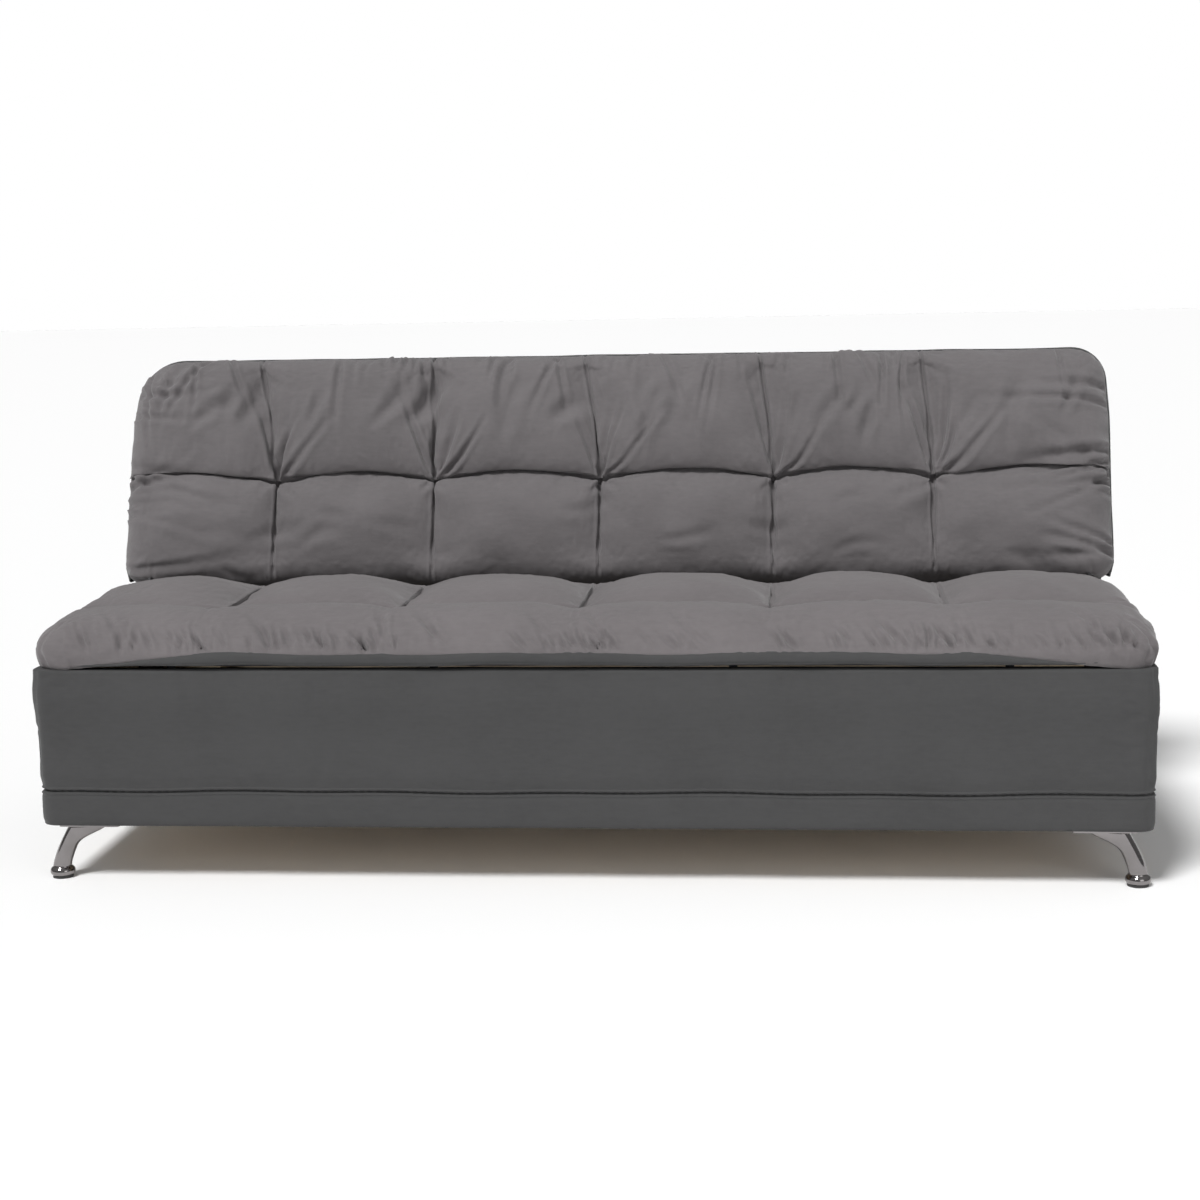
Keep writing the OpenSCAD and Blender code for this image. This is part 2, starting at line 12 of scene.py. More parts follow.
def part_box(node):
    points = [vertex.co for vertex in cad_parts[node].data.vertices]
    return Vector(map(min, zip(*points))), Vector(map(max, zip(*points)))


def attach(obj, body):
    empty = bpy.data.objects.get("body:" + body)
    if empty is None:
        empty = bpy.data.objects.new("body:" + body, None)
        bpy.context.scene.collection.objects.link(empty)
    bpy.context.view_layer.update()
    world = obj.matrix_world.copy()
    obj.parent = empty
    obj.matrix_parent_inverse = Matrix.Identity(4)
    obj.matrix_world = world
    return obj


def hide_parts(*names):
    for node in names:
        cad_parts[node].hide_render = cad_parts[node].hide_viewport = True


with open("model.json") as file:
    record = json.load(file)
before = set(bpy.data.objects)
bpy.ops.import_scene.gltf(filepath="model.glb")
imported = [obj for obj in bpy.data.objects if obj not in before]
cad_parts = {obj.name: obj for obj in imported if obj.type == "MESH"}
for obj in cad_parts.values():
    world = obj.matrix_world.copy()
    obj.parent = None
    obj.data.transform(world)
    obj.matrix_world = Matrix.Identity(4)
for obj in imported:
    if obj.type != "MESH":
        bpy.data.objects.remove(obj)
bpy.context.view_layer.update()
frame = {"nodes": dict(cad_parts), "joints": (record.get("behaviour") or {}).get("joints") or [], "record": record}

# ---- The frame's own places, in metres ----

SLOTS = {p["node"]: p["material_slot"] for p in frame["record"]["subparts"]}
JOINTS = {j["name"]: j for j in frame["joints"]}
PIVOT = Vector(JOINTS["back_recline"]["pos_m"])
BACK_ANGLE = math.radians(JOINTS["back_recline"]["range_deg"][1])
SEAT_LOW, SEAT_HIGH = (Vector(c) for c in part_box("seat_cushion"))
BASE_LOW, BASE_HIGH = (Vector(c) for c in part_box("base_cover"))
BAND_LOW, BAND_HIGH = (Vector(c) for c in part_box("base_band"))

HALF_W = SEAT_HIGH.x
SEAT_LEN = PIVOT.y - SEAT_LOW.y
CUSHION_FOOT = SEAT_LOW.z - PIVOT.z
PAD_RISE = SEAT_HIGH.z - PIVOT.z
BORDER_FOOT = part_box("seat_border_front")[0][2] - PIVOT.z
BRACKET_THICK = 0.004
BRACKET_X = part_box("base_bracket_right")[1][0] - BRACKET_THICK / 2
BACK_TOP_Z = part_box("back_cushion")[1][2]
FAR_ROUND = 0.032
BACK_LEN = (BACK_TOP_Z - PIVOT.z - FAR_ROUND
            - (PAD_RISE - FAR_ROUND) * math.cos(BACK_ANGLE)) / math.sin(BACK_ANGLE) + FAR_ROUND


# ---- Camera, light and floor ----

CAMERA_LENS = 62.74
CAMERA_TURN = (5.56, 8.78, -1.10)
CAMERA_SIDE, CAMERA_AWAY, CAMERA_HEIGHT = 0.362, 3.375, 1.0087
HORIZON_GLOW, ZENITH_GLOW = 0.20, 0.34
GLOW_FROM, GLOW_TO = 0.05, 0.75
SUN_POWER, SUN_ANGLE, SUN_WAY = 2.9, 16, (0.35, 0.62, -1.0)
FILL_PLACE, FILL_TARGET, FILL_SIZE, FILL_POWER = (2.6, -3.6, 1.6), (0, 0, 0.40), 2.2, 24
FLOOR_HALF, FLOOR_GREY = 60, 0.96


def new_object(name, data):
    """An object for the data, placed in the scene."""
    obj = bpy.data.objects.new(name, data)
    bpy.context.scene.collection.objects.link(obj)
    return obj


def add_node(tree, kind, inputs=(), **values):
    """A shader node; an input is linked if it is given a socket, and set if it is given a value."""
    made = tree.nodes.new(kind)
    for key, value in values.items():
        setattr(made, key, value)
    for key, value in dict(inputs).items():
        if isinstance(value, bpy.types.NodeSocket):
            tree.links.new(value, made.inputs[key])
        else:
            made.inputs[key].default_value = value
    return made


def aimed(way):
    """The turn that points a light along a direction."""
    return Vector(way).to_track_quat("-Z", "Y").to_euler()


def add_camera():
    """The viewing angle: a little right of the middle and above the seat, turned slightly left."""
    yaw, pitch, roll = (math.radians(angle) for angle in CAMERA_TURN)
    turn = Matrix.Rotation(yaw, 3, "Z")
    ahead = turn @ Vector((0, math.cos(pitch), -math.sin(pitch)))
    level_up = turn @ Vector((0, math.sin(pitch), math.cos(pitch)))
    level_right = turn @ Vector((1, 0, 0))
    right = math.cos(roll) * level_right + math.sin(roll) * level_up
    up = math.cos(roll) * level_up - math.sin(roll) * level_right
    data = bpy.data.cameras.new("camera")
    data.sensor_width = 36
    data.lens = CAMERA_LENS
    data.clip_end = 50
    camera = new_object("camera", data)
    basis = Matrix((right, up, -ahead)).transposed().to_4x4()
    place = (CAMERA_SIDE, BASE_LOW.y - CAMERA_AWAY, CAMERA_HEIGHT)
    camera.matrix_world = Matrix.Translation(place) @ basis
    bpy.context.scene.camera = camera


def add_surround():
    """A surround that is plain white to the camera, and lights the sofa mostly from above."""
    world = bpy.data.worlds.new("studio")
    bpy.context.scene.world = world
    world.use_nodes = True
    tree = world.node_tree
    seen = add_node(tree, "ShaderNodeLightPath").outputs["Is Camera Ray"]
    way = add_node(tree, "ShaderNodeTexCoord").outputs["Generated"]
    height = add_node(tree, "ShaderNodeSeparateXYZ", {0: way}).outputs["Z"]
    glow = add_node(tree, "ShaderNodeMapRange", {
        "Value": height, "From Min": GLOW_FROM, "From Max": GLOW_TO,
        "To Min": HORIZON_GLOW, "To Max": ZENITH_GLOW}).outputs["Result"]
    strength = add_node(tree, "ShaderNodeMapRange", {"Value": seen, "To Min": glow, "To Max": 1.0})
    background = tree.nodes["Background"]
    background.inputs["Color"].default_value = (1, 1, 1, 1)
    tree.links.new(strength.outputs["Result"], background.inputs["Strength"])


def add_lights():
    """A soft sun from the front left and a fill from the front right."""
    sun = new_object("sun", bpy.data.lights.new("sun", "SUN"))
    sun.data.energy = SUN_POWER
    sun.data.angle = math.radians(SUN_ANGLE)
    sun.rotation_euler = aimed(SUN_WAY)
    fill = new_object("fill", bpy.data.lights.new("fill", "AREA"))
    fill.data.shape = "SQUARE"
    fill.data.size = FILL_SIZE
    fill.data.energy = FILL_POWER
    fill.location = FILL_PLACE
    fill.rotation_euler = aimed(Vector(FILL_TARGET) - Vector(FILL_PLACE))


def add_floor():
    """A plain pale floor that runs past every horizon."""
    data = bpy.data.meshes.new("floor")
    r = FLOOR_HALF
    corners = ((-r, -r), (r, -r), (r, r), (-r, r))
    data.from_pydata([(x, y, 0) for x, y in corners], [], [(0, 1, 2, 3)])
    floor = new_object("floor", data)
    look = Shader("pale_floor", 0.9)
    look.bsdf.inputs["Base Color"].default_value = (FLOOR_GREY, FLOOR_GREY, FLOOR_GREY, 1)
    data.materials.append(look.material)


# ---- Materials ----

class Shader:
    """A small helper that wires the nodes of one material."""

    def __init__(self, name, roughness, metallic=0.0):
        self.material = bpy.data.materials.new(name)
        self.material.use_nodes = True
        self.tree = self.material.node_tree
        self.bsdf = self.tree.nodes["Principled BSDF"]
        self.bsdf.inputs["Roughness"].default_value = roughness
        self.bsdf.inputs["Metallic"].default_value = metallic
        self.place = self.node("ShaderNodeTexCoord").outputs["Object"]

    def node(self, kind, inputs=(), **values):
        return add_node(self.tree, kind, inputs, **values)

    def noise(self, scale, detail=2.0, stretch=(1, 1, 1), roughness=0.5):
        place = self.node("ShaderNodeMapping", {"Scale": stretch, "Vector": self.place})
        return self.node("ShaderNodeTexNoise", {
            "Vector": place.outputs["Vector"], "Scale": scale, "Detail": detail,
            "Roughness": roughness}).outputs["Fac"]

    def wave(self, scale, direction, distortion):
        return self.node("ShaderNodeTexWave", {
            "Vector": self.place, "Scale": scale, "Distortion": distortion, "Detail Scale": 1.0,
        }, bands_direction=direction).outputs["Fac"]

    def math(self, operation, a, b):
        return self.node("ShaderNodeMath", {0: a, 1: b}, operation=operation).outputs[0]

    def feed(self, name, out):
        self.tree.links.new(out, self.bsdf.inputs[name])

    def tones(self, factor, colour, *stops):
        """Shades of a colour along a factor: each stop is (position, shade)."""
        made = self.node("ShaderNodeValToRGB", {"Fac": factor})
        elements = made.color_ramp.elements
        while len(elements) < len(stops):
            elements.new(0.5)
        for element, (at, amount) in zip(elements, stops):
            element.position = at
            element.color = (*shade(colour, amount), 1)
        self.feed("Base Color", made.outputs["Color"])

    def roughness_between(self, factor, low, high):
        made = self.node("ShaderNodeMapRange", {"Value": factor, "To Min": low, "To Max": high})
        self.feed("Roughness", made.outputs["Result"])

    def bump(self, *layers):
        """Bump layers as (height, strength, distance), each on top of the one before."""
        below = {}
        for height, strength, distance in layers:
            made = self.node("ShaderNodeBump", {"Height": height, "Strength": strength,
                                                "Distance": distance, **below})
            below = {"Normal": made.outputs["Normal"]}
        self.feed("Normal", below["Normal"])


def shade(colour, factor):
    """A colour made lighter or darker."""
    return tuple(min(1.0, c * factor) for c in colour)


THREAD = 0.0011


def woven(name, colour, sheen=0.25):
    """Brushed cotton: a fine weave, soft nap, slubs and slow changes of tone."""
    s = Shader(name, 0.85)
    s.bsdf.inputs["Sheen Weight"].default_value = sheen
    s.bsdf.inputs["Sheen Roughness"].default_value = 0.5
    s.bsdf.inputs["Specular IOR Level"].default_value = 0.25
    slow = s.noise(6, 3)
    nap = s.noise(70, 4, stretch=(1, 1.6, 1.6))
    slub = s.noise(180, 2, stretch=(0.16, 1, 1))
    tone = s.math("ADD", s.math("MULTIPLY", slow, 0.45), s.math("MULTIPLY", nap, 0.35))
    tone = s.math("ADD", tone, s.math("MULTIPLY", slub, 0.20))
    s.tones(tone, colour, (0.30, 0.86), (0.50, 1), (0.72, 1.13))
    s.roughness_between(nap, 0.78, 0.95)
    x, y, z = (s.wave(0.5 / THREAD, way, 0.6) for way in "XYZ")
    weave = s.math("MULTIPLY", x, s.math("ADD", z, y))
    s.bump((nap, 0.25, 0.002), (weave, 0.22, 0.0006), (slub, 0.12, 0.0006))
    return s.material


def metal(name, colour, roughness, brushed=0.3):
    """Metal with faint drawing lines and uneven polish."""
    s = Shader(name, roughness, 1.0)
    smear = s.noise(14, 4)
    lines = s.noise(320, 2, stretch=(0.05, 1, 1))
    s.tones(smear, colour, (0.3, 0.85), (0.7, 1.1))
    s.roughness_between(smear, roughness * 0.7, roughness * 1.5)
    s.bump((lines, brushed * 0.3, 0.0003))
    return s.material


def painted(name, colour):
    """Powder-coated tube: a fine orange peel with worn, slightly lighter patches."""
    s = Shader(name, 0.5)
    peel = s.noise(700, 2)
    worn = s.noise(25, 5)
    s.tones(worn, colour, (0.35, 1), (0.75, 1.9))
    s.roughness_between(worn, 0.38, 0.62)
    s.bump((peel, 0.2, 0.0004))
    return s.material


def wood(name, colour, along):
    """Sawn timber or plywood, with the grain along one axis."""
    s = Shader(name, 0.7)
    stretch = [0.06 if axis == along else 1 for axis in "XYZ"]
    grain = s.noise(60, 5, stretch=stretch, roughness=0.65)
    pores = s.noise(420, 2, stretch=stretch)
    s.tones(grain, colour, (0.3, 0.68), (0.5, 1), (0.7, 1.2))
    s.roughness_between(grain, 0.6, 0.82)
    s.bump((grain, 0.25, 0.001), (pores, 0.2, 0.0004))
    return s.material


def pitted(name, colour, roughness, scale=500, depth=0.0004):
    """Moulded rubber or plastic, or foam, with a fine grain."""
    s = Shader(name, roughness)
    grain = s.noise(scale, 3)
    cloud = s.noise(18, 3)
    s.tones(cloud, colour, (0.3, 0.8), (0.7, 1.25))
    s.roughness_between(cloud, roughness * 0.85, min(1.0, roughness * 1.15))
    s.bump((grain, 0.35, depth))
    return s.material


SEAT_GREY = (0.145, 0.133, 0.136)
# The back's cotton is the seat's cotton made darker: painted shade, for the back catching less light from above
# than the seat
BACK_GREY_PAINTED_SHADE = (0.130, 0.121, 0.124)
BASE_GREY = (0.0575, 0.0575, 0.0582)

CLOTH = {
    "seat": woven("seat_cotton", SEAT_GREY),
    # the back's cloth carries painted shade: a darker copy of the seat's colour
    "back": woven("back_cotton_painted_shade", BACK_GREY_PAINTED_SHADE),
    "base": woven("base_canvas", BASE_GREY, sheen=0.12),
    "border": woven("border_canvas", shade(BASE_GREY, 0.95), sheen=0.12),
}
CAD_LOOKS = {
    "plywood": wood("birch_ply", (0.44, 0.36, 0.27), "X"),
    "timber": wood("pine", (0.50, 0.41, 0.30), "Y"),
    "wadding": pitted("wadding_fleece", (0.75, 0.74, 0.71), 0.95, 160, 0.002),
    "foam": pitted("cut_foam", (0.72, 0.66, 0.46), 0.95, 900, 0.001),
    "base_fabric": CLOTH["base"],
    "border_fabric": CLOTH["border"],
    "seat_fabric": CLOTH["seat"],
    "back_fabric": CLOTH["back"],
    "rear_fabric": woven("rear_cloth", (0.07, 0.07, 0.071), sheen=0.1),
    "dust_cloth": woven("dust_felt", (0.015, 0.015, 0.016), sheen=0.05),
    "chrome": metal("chromed_steel", (0.27, 0.255, 0.255), 0.09, 0.1),
    "frame_paint": painted("black_powder_coat", (0.025, 0.025, 0.027)),
    "zinc_steel": metal("zinc_plate", (0.085, 0.085, 0.088), 0.38),
    "spring_steel": metal("spring_wire", (0.22, 0.22, 0.23), 0.35),
    "black_rubber": pitted("black_rubber", (0.02, 0.02, 0.02), 0.8),
    "black_plastic": pitted("black_nylon", (0.03, 0.03, 0.03), 0.45),
}


def dress_cad_nodes():
    """Gives every CAD node the procedural material of its slot."""
    for name, node in frame["nodes"].items():
        look = CAD_LOOKS[SLOTS[name]]
        if node.material_slots:
            for slot in node.material_slots:
                slot.material = look
        else:
            node.data.materials.append(look)


# ---- Cushions ----

def smooth(t):
    """Eases from 0 to 1 as t does."""
    t = np.clip(t, 0, 1)
    return t * t * (3 - 2 * t)


def crowded(t, amount):
    """Even fractions drawn towards both ends of a span."""
    return t - amount * np.sin(2 * math.pi * t) / (2 * math.pi)


def arc_corners(x, u, half, far, radii):
    """Pulls the far corners of a rectangle in to arcs, one radius for each side."""
    for side, r in zip((-1, 1), radii):
        dx = side * x - (half - r)
        du = u - (far - r)
        inside = (dx > 0) & (du > 0)
        longest = np.maximum(dx, du)
        scale = np.where(inside, longest / np.maximum(np.hypot(dx, du), 1e-9), 1)
        x = np.where(inside, side * (half - r + dx * scale), x)
        u = np.where(inside, far - r + du * scale, u)
    return x, u


def humps(t, first, last, start, end):
    """The lift across cells: 0 at their seams, and start or end at the pad's own edges."""
    lift = 1 - np.abs(2 * t - 1) ** 3.0
    lift = np.where(first & (t < 0.5), start + (1 - start) * smooth(2 * t), lift)
    return np.where(last & (t > 0.5), end + (1 - end) * smooth(2 - 2 * t), lift)


def ring_faces(outer, inner):
    """Quads that join two closed rings of points."""
    return list(zip(outer, inner, np.roll(inner, -1), np.roll(outer, -1)))


TUCK_IN = 0.020
CORNER_FROM, CORNER_OVER = (0.62, 0.26), (0.31, 0.22)


class Pad:
    """A tufted pad in its own frame: x across, u outwards from the pivot, h above its plane."""

    def __init__(self, name, length, tuft_x, tuft_u, step_x):
        self.name, self.length, self.near = name, length, 0.008
        self.tuft_x, self.tuft_u = np.array(tuft_x), tuft_u
        self.step_x, self.step_u = step_x, 0.008
        self.roll = 0.034  # radius of the pad's edge
        self.core = HALF_W - self.roll
        self.start, self.far = self.near + self.roll, self.length - self.roll
        self.corners = (0.046, 0.046)
        self.end_bulge = (0.004, 0.004)
        self.seam_drop = self.corner_drop = 0.0
        self.top = 0.008  # height of the flat core
        self.arch = 0.025  # rise of the crease between tufts
        self.lean = np.zeros(len(tuft_x))
        self.lift, self.peaks = (0.018, 0.014), (0.5, 0.5)  # of the near and far cells
        self.fullness = dict(across=0.10, along=0.10, far=0.22, ends=0.18)
        self.tuft_h, self.crease_h, self.channel_h = -0.012, -0.004, (0.002, 0.001)
        self.channel_reach = 1.0

    # The grid and its shape

    def crease_u(self, x):
        """Where the crease between the two rows of cells runs: it arches between the tufts."""
        edges = np.concatenate(([-HALF_W - 0.12], self.tuft_x, [HALF_W + 0.12]))
        cell = np.clip(np.searchsorted(edges, x) - 1, 0, len(edges) - 2)
        t = (x - edges[cell]) / (edges[cell + 1] - edges[cell])
        return self.tuft_u + self.arch * np.sin(np.pi * np.clip(t, 0, 1)) ** 0.8

    def seam_x(self, k, u):
        """The sewn channel between two columns, which drifts sideways above its tuft."""
        t = np.clip((u - self.tuft_u) / (self.length - self.tuft_u), 0, 1)
        return self.tuft_x[k] + self.lean[k] * t ** 1.4

    def lines(self):
        """Fractions of the columns and rows: whole numbers fall on seams."""
        edges = np.concatenate(([-self.core], self.tuft_x, [self.core]))
        columns = []
        for k in range(len(edges) - 1):
            n = max(4, round((edges[k + 1] - edges[k]) / self.step_x))
            columns.append(k + crowded(np.arange(n) / n, 0.38))
        columns = np.concatenate(columns + [[len(edges) - 1.0]])
        spans = (self.tuft_u - self.start, self.far - self.tuft_u)
        rows = [i + crowded(np.arange(n) / n, 0.5) for i, n in
                enumerate(max(4, round(s / self.step_u)) for s in spans)]
        rows = np.concatenate(rows + [[2.0]])
        return columns, rows

    def core_grid(self):
        """The flat middle of the pad: x and u of each grid point."""
        columns, rows = self.lines()
        n_seams = len(self.tuft_x)
        x = np.zeros((len(columns), len(rows)))
        u = np.zeros_like(x)
        rough_u = np.interp(rows, [0, 1, 2], [self.start, self.tuft_u, self.far])
        for j, row_u in enumerate(rough_u):
            seams = [self.seam_x(k, row_u) for k in range(n_seams)]
            x[:, j] = np.interp(columns, np.arange(n_seams + 2), [-self.core, *seams, self.core])
        for i in range(len(columns)):
            crease = self.crease_u(x[i, np.searchsorted(rows, 1.0)])
            u[i] = np.interp(rows, [0, 1, 2], [self.start, crease, self.far])
        return columns, rows, x, u

    def crown(self, columns, rows):
        """How far the stuffing lifts each cell before the cloth is inflated."""
        last = len(self.tuft_x)
        cell = np.clip(np.floor(columns), 0, last)
        t = columns - cell
        across = humps(t, cell == 0, cell == last, 0.5, 0.5)
        row = np.clip(np.floor(rows), 0, 1)
        t = rows - row
        peak = np.where(row == 0, self.peaks[0], self.peaks[1])
        t = np.where(t < peak, 0.5 * t / peak, 0.5 + 0.5 * (t - peak) / (1 - peak))
        along = humps(t, row == 0, row == 1, 0.25, 0.35)
        lift = np.where(row == 0, self.lift[0], self.lift[1])
        return across[:, None] * (along * lift)[None, :]

    def bulge_ends(self, x, u):
        """Lets the ends swell outwards below the far corners."""
        for side, bulge in zip((-1, 1), self.end_bulge):
            near_end = smooth((side * x - (HALF_W - 0.20)) / 0.20)
            below = smooth((self.length - 0.02 - u) / 0.12) * smooth((u + 0.06) / 0.12)
            x = x + side * bulge * near_end * below
        return x, u

    def far_corner(self, x, u):
        """1 at the far corners, easing to 0 towards the middle and the pivot."""
        (from_x, from_u), (over_x, over_u) = CORNER_FROM, CORNER_OVER
        return smooth((np.abs(x) - from_x) / over_x) * smooth((u - from_u) / over_u)

    def seam_height(self, x, u):
        """The border seam, which drops at the far corners."""
        return CUSHION_FOOT - self.seam_drop - self.corner_drop * self.far_corner(x, u)

    def build(self):
        """Makes the points and faces: the core, the rings round its edge, the tuck and the foot."""
        columns, rows, x, u = self.core_grid()
        radii = [corner - self.roll * 0.6 for corner in self.corners]
        x, u = arc_corners(x, u, self.core, self.far, radii)
        x, u = self.bulge_ends(x, u)
        ni, nj = x.shape
        height = self.top + self.crown(columns, rows)
        points = np.stack([x, u, height], -1).reshape(-1, 3)
        index = np.arange(ni * nj).reshape(ni, nj)
        faces = [(index[i, j], index[i + 1, j], index[i + 1, j + 1], index[i, j + 1])
                 for i in range(ni - 1) for j in range(nj - 1)]
        loop = np.concatenate([index[:, 0], index[-1, 1:], index[-2::-1, -1], index[0, -2:0:-1]])
        self.columns, self.rows, self.index, self.loop = columns, rows, index, loop
        ring = points[loop]
        along = np.roll(ring, -1, 0) - np.roll(ring, 1, 0)
        out = np.stack([along[:, 1], -along[:, 0]], -1)
        out /= np.linalg.norm(out, axis=1)[:, None]
        self.out = out
        arc = self.roll * math.pi / 2
        skirt = arc + (self.top - CUSHION_FOOT - self.roll)
        count = round(skirt / self.step_u)
        self.rings, self.ring_travel = [], [0.0]
        previous = loop
        for k in range(1, count + 1):
            s = skirt * k / count
            if s < arc:
                a = s / self.roll
                d, h = self.roll * math.sin(a), self.top - self.roll * (1 - math.cos(a))
            else:
                d, h = self.roll, self.top - self.roll - (s - arc)
            h = h + (ring[:, 2] - self.top) * max(0.0, 1 - s / arc) ** 1.5
            down = s / skirt
            h += (self.seam_height(ring[:, 0], ring[:, 1]) - CUSHION_FOOT) * down
            ids = np.arange(len(points), len(points) + len(loop))
            belly = 0.010 * math.sin(math.pi * down) - 0.012 * smooth((down - 0.65) / 0.35)
            corner = self.far_corner(ring[:, 0], ring[:, 1]) * (self.corner_drop > 0)
            xy = ring[:, :2] + out * (d + belly * corner)[:, None]
            points = np.concatenate([points, np.column_stack([xy, h])])
            faces += ring_faces(previous, ids)
            self.rings.append(ids)
            self.ring_travel.append(s)
            previous = ids
        ids = np.arange(len(points), len(points) + len(loop))
        tucked = ring[:, :2] + out * (self.roll - TUCK_IN)
        foot = np.full(len(loop), CUSHION_FOOT)
        points = np.concatenate([points, np.column_stack([tucked, foot])])
        faces += ring_faces(previous, ids)
        self.tuck = previous = ids
        near, far_side = previous[:ni], previous[ni + nj - 2:2 * ni + nj - 2][::-1]
        faces += [(near[i], far_side[i], far_side[i + 1], near[i + 1]) for i in range(ni - 1)]
        faces.append(tuple(previous[ni - 1:ni + nj - 1][::-1]))
        faces.append(tuple(np.concatenate([previous[2 * ni + nj - 3:], previous[:1]])[::-1]))
        self.points, self.faces = points, faces

    # The cloth's cut size and what is sewn down

    def cut_size(self):
        """The flat cut of the cloth: fuller than the pad, most of all along its far edge."""
        f = self.fullness
        flat_xy = self.points[:, :2].copy()
        for k, ids in enumerate(self.rings):
            flat_xy[ids] = self.points[self.loop][:, :2] + self.out * self.ring_travel[k + 1]
        far_ness = smooth((flat_xy[:, 1] - self.tuft_u) / (self.length - self.tuft_u))
        end_ness = smooth((np.abs(flat_xy[:, 0]) - (HALF_W - 0.22)) / 0.22)
        across = 1 + f["across"] + (f["far"] - f["across"]) * far_ness
        along = 1 + f["along"] + (f["ends"] - f["along"]) * end_ness
        u = self.tuft_u + (flat_xy[:, 1] - self.tuft_u) * along
        return np.column_stack([flat_xy[:, 0] * across, u, np.zeros(len(u))])

    def sewn(self):
        """Pinned points and their heights: channels, crease, tufts, border seam."""
        weight = np.zeros(len(self.points))
        place = self.points.copy()
        for k in range(len(self.tuft_x)):
            ids = self.index[np.searchsorted(self.columns, k + 1.0)]
            u = self.points[ids, 1]
            away = np.abs(u - self.tuft_u)
            span = np.where(u > self.tuft_u, self.far - self.tuft_u, self.tuft_u - self.start)
            t = away / span
            held = (u < self.tuft_u) | (away < self.channel_reach)
            place[ids[held], 2] = self.channel_height(t, u > self.tuft_u)[held]
            weight[ids[held]] = 1
        ids = self.index[:, np.searchsorted(self.rows, 1.0)]
        x = self.points[ids, 0]
        near_tuft = np.min(np.abs(x[:, None] - self.tuft_x[None, :]), axis=1)
        height = self.tuft_h + (self.crease_h - self.tuft_h) * smooth(near_tuft / 0.12)
        at_end = smooth((np.abs(x) - (HALF_W - 0.16)) / 0.12)
        place[ids, 2] = height + (self.top - height) * 0.7 * at_end
        weight[ids] = 1
        weight[self.rings[-1]] = weight[self.tuck] = 1
        return weight, place

    def channel_height(self, t, far_side):
        """How high a sewn channel runs, from its tuft (t = 0) to the pad's edge (t = 1)."""
        middle = np.where(far_side, self.channel_h[1], self.channel_h[0])
        height = self.tuft_h + (middle - self.tuft_h) * smooth(t / 0.45)
        return height + np.where(far_side, 0, 0.013 * smooth((t - 0.70) / 0.30))


# ---- Cloth simulation ----

SIM_FRAMES = 22
SIM_REACH = 0.028
SIM_NOISE = 0.0006
CLOTH_SETTINGS = dict(
    quality=6, mass=0.2, tension_stiffness=18, compression_stiffness=18, shear_stiffness=4,
    bending_stiffness=0.05, tension_damping=4, compression_damping=4, shear_damping=4,
    bending_damping=0.4, air_damping=2, vertex_group_mass="sewn", pin_stiffness=10,
    use_pressure=True, uniform_pressure_force=5.0)


def read_points(mesh, what="co"):
    """A vector of each point of a mesh: its place or its normal."""
    values = np.zeros(len(mesh.vertices) * 3)
    mesh.vertices.foreach_get(what, values)
    return values.reshape(-1, 3)


def run_cloth(obj, rest, weight, seed):
    """Inflates a piece whose sewn points are pinned, then applies the result."""
    mesh = obj.data
    start = read_points(mesh)
    noise = np.random.default_rng(seed).normal(0, SIM_NOISE, start.shape)
    noise[weight > 0.5] = 0
    mesh.vertices.foreach_set("co", (start + noise).ravel())
    obj.shape_key_add(name="Basis")
    cut = obj.shape_key_add(name="cut")
    cut.data.foreach_set("co", rest.ravel())
    cut.value = 0
    group = obj.vertex_groups.new(name="sewn")
    group.add([int(i) for i in np.nonzero(weight > 0.5)[0]], 1.0, "REPLACE")
    cloth = obj.modifiers.new("cloth", "CLOTH")
    for key, value in CLOTH_SETTINGS.items():
        setattr(cloth.settings, key, value)
    cloth.settings.rest_shape_key = cut
    cloth.settings.effector_weights.gravity = 0
    cloth.collision_settings.use_collision = False
    cloth.point_cache.frame_start = 1
    cloth.point_cache.frame_end = SIM_FRAMES
    scene = bpy.context.scene
    for number in range(1, SIM_FRAMES + 1):
        scene.frame_set(number)
    graph = bpy.context.evaluated_depsgraph_get()
    settled = read_points(obj.evaluated_get(graph).to_mesh())
    scene.frame_set(1)
    obj.modifiers.remove(cloth)
    obj.shape_key_clear()
    move = settled - start
    far = np.linalg.norm(move, axis=1)[:, None]
    move *= np.minimum(1, SIM_REACH / np.maximum(far, 1e-9))
    mesh.vertices.foreach_set("co", (start + move).ravel())
    mesh.update()


def bake_subdivision(obj):
    """Replaces a mesh by its subdivided surface, so that folds can be laid into it."""
    modifier = obj.modifiers.new("fine", "SUBSURF")
    modifier.levels = 1
    graph = bpy.context.evaluated_depsgraph_get()
    fine = bpy.data.meshes.new_from_object(obj.evaluated_get(graph))
    obj.modifiers.clear()
    obj.vertex_groups.clear()
    coarse, obj.data = obj.data, fine
    bpy.data.meshes.remove(coarse)
    fine.name = obj.name
    fine.shade_smooth()


# ---- Folds ----

def crease_profile(q):
    """A pinched fold across its width: a narrow valley between two soft ridges."""
    return -np.exp(-q * q) + 0.45 * np.exp(-((np.abs(q) - 1.8) / 0.9) ** 2)


def fold(a, b, start, angle, length, width, depth, bend=0.0, fade_in=0.1, fade_out=0.6):
    """The height of one fold at the surface places (a, b): it leaves start at an angle from +b."""
    way = np.array([math.sin(angle), math.cos(angle)])
    da, db = a - start[0], b - start[1]
    t = (da * way[0] + db * way[1]) / length
    near = (t > 0) & (t < 1)
    t = np.clip(t, 0, 1)
    off = da * way[1] - db * way[0] - bend * 4 * t * (1 - t)
    spread = width * (0.7 + 0.6 * t)
    taper = smooth(t / fade_in) * smooth((1 - t) / fade_out)
    near &= np.abs(off) < 4 * spread
    height = np.zeros_like(a)
    height[near] = (depth * taper * crease_profile(off / spread))[near]
    return height


def draws(rng, *spans):
    """A random number from each span, in turn."""
    return [rng.uniform(*span) for span in spans]


